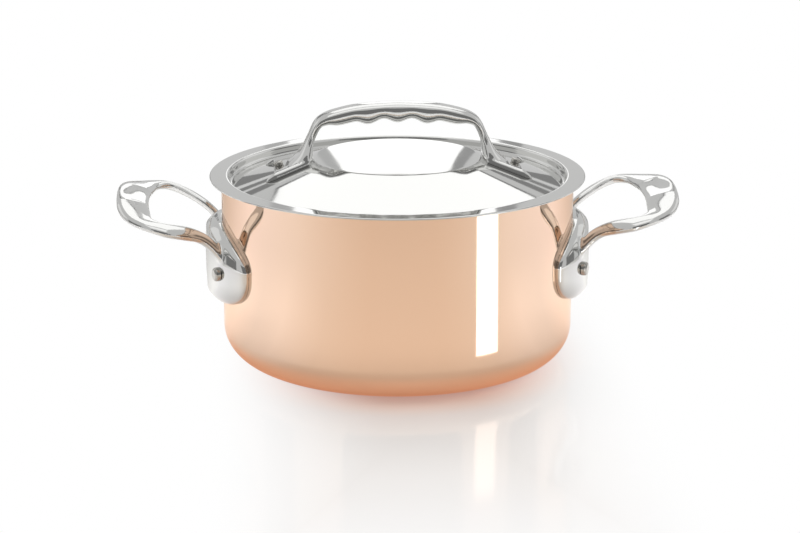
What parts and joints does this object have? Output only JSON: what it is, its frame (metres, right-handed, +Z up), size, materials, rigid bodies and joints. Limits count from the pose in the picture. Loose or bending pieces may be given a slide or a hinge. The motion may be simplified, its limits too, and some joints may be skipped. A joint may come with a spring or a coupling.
{
  "type": "lidded cooking pot",
  "caption": "Round straight-walled copper cooking pot with steel lining, riveted cast loop handles and a domed drop-in lid lifted by a toothed bridge handle.",
  "frame": {"origin": "middle of the flat base, on the surface that the pot stands on", "axes": "+X along the two side handles towards the right handle, -Y towards the viewer of the picture, +Z up through the lid"},
  "size_m": [0.3236, 0.2172, 0.1497],
  "materials": {
    "copper": "mirror-polished bare copper",
    "satin_steel": "satin stainless steel with fine turning marks",
    "polished_steel": "mirror-polished stainless steel",
    "rivet_steel": "polished stainless steel, slightly dulled"
  },
  "bodies": {
    "pot": {"copper_shell": "copper", "steel_lining": "satin_steel", "right_handle": "polished_steel", "right_front_rivet": "rivet_steel", "right_rear_rivet": "rivet_steel", "left_handle": "polished_steel", "left_front_rivet": "rivet_steel", "left_rear_rivet": "rivet_steel"},
    "lid": {"lid_shell": "polished_steel", "lid_handle": "polished_steel", "lid_right_rivet": "rivet_steel", "lid_left_rivet": "rivet_steel"}
  },
  "joints": [
    {"name": "lid_lift", "type": "slide", "parent": "pot", "child": "lid", "axis": [0, 0, 1], "range_m": [0, 0.15]}
  ]
}
